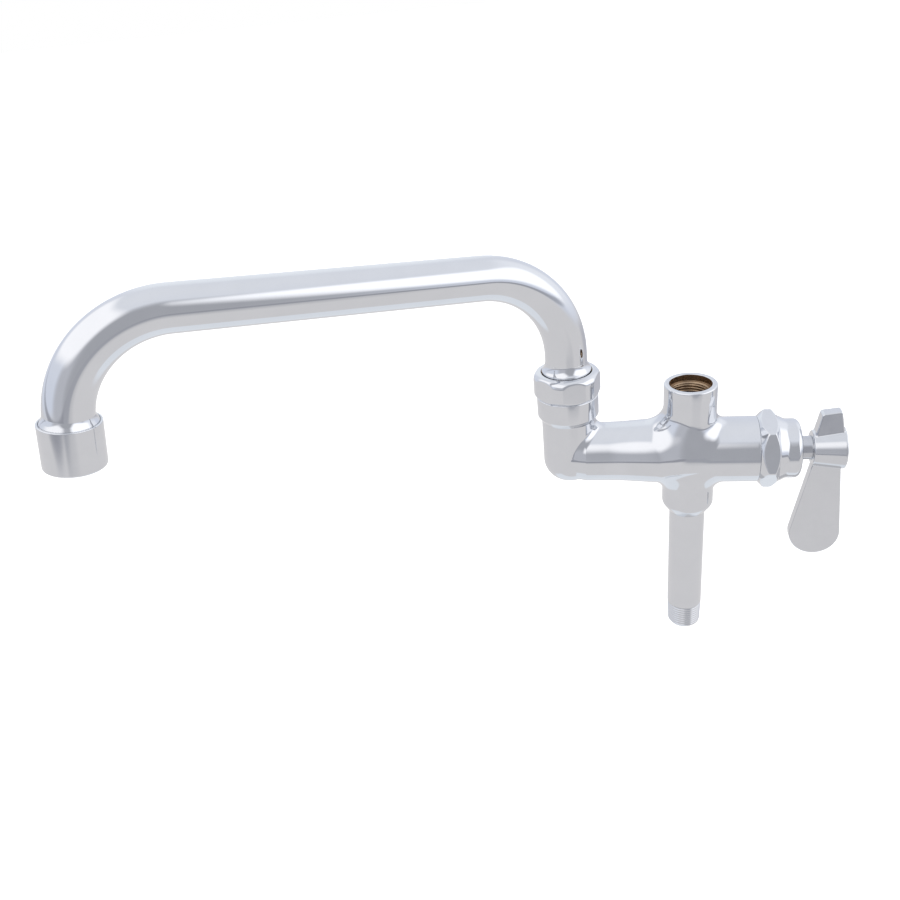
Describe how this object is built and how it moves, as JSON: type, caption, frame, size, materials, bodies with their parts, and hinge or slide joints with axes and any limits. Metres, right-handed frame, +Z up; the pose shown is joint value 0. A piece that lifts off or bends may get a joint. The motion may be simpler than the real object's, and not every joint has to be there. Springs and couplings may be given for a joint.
{
  "type": "pre-rinse add-on faucet",
  "caption": "Lever-operated add-on faucet for a pre-rinse column: cast body on a threaded inlet nipple, riser socket on top, and a swivelling bent-tube spout with an aerator.",
  "frame": {"origin": "centre of the inlet nipple's lower end face", "axes": "+Z up along the nipple and the two bosses, +X along the body to the lever, +Y away from the side that the lever opens to"},
  "size_m": [0.3305, 0.1396, 0.2268],
  "materials": {
    "cast_chrome": "cast, ground and polished, chrome plated",
    "tube_chrome": "drawn tube, polished and chrome plated",
    "turned_chrome": "turned brass, chrome plated",
    "lever_chrome": "die cast, satin to bright chrome plate",
    "stem_steel": "turned stainless steel",
    "brass": "turned, unplated",
    "seal_rubber": "moulded nitrile rubber",
    "bearing_plastic": "low-friction bearing plastic",
    "fibre": "pressed fibre",
    "valve_ceramic": "lapped alumina",
    "screen_steel": "punched stainless sheet",
    "insert_plastic": "moulded acetal",
    "index_plastic": "moulded, glossy"
  },
  "bodies": {
    "body": {"body_casting": "cast_chrome", "inlet_nipple": "tube_chrome", "swivel_nut": "turned_chrome", "wear_washer": "bearing_plastic", "bonnet": "turned_chrome", "cartridge_sleeve": "brass", "cartridge_gasket": "fibre", "fixed_disc": "valve_ceramic", "seat_seal": "seal_rubber"},
    "spout": {"split_ring": "brass", "swivel_seals": "seal_rubber", "spout_ferrule": "turned_chrome", "spout_tube": "tube_chrome", "outlet_adapter": "turned_chrome", "aerator_shell": "turned_chrome", "aerator_washer": "seal_rubber", "aerator_screen": "screen_steel", "aerator_insert": "insert_plastic"},
    "lever": {"valve_stem": "stem_steel", "stem_seals": "seal_rubber", "stem_clip": "brass", "thrust_washer": "bearing_plastic", "moving_disc": "valve_ceramic", "lever_handle": "lever_chrome", "handle_screw": "stem_steel", "index_button": "index_plastic"}
  },
  "joints": [
    {"name": "spout_swivel", "type": "hinge", "parent": "body", "child": "spout", "pos_m": [-0.057, 0, 0.14], "axis": [0, 0, 1], "continuous": true},
    {"name": "lever_turn", "type": "hinge", "parent": "body", "child": "lever", "pos_m": [0.06, 0, 0.104], "axis": [-1, 0, 0], "range_deg": [0, 90]}
  ]
}
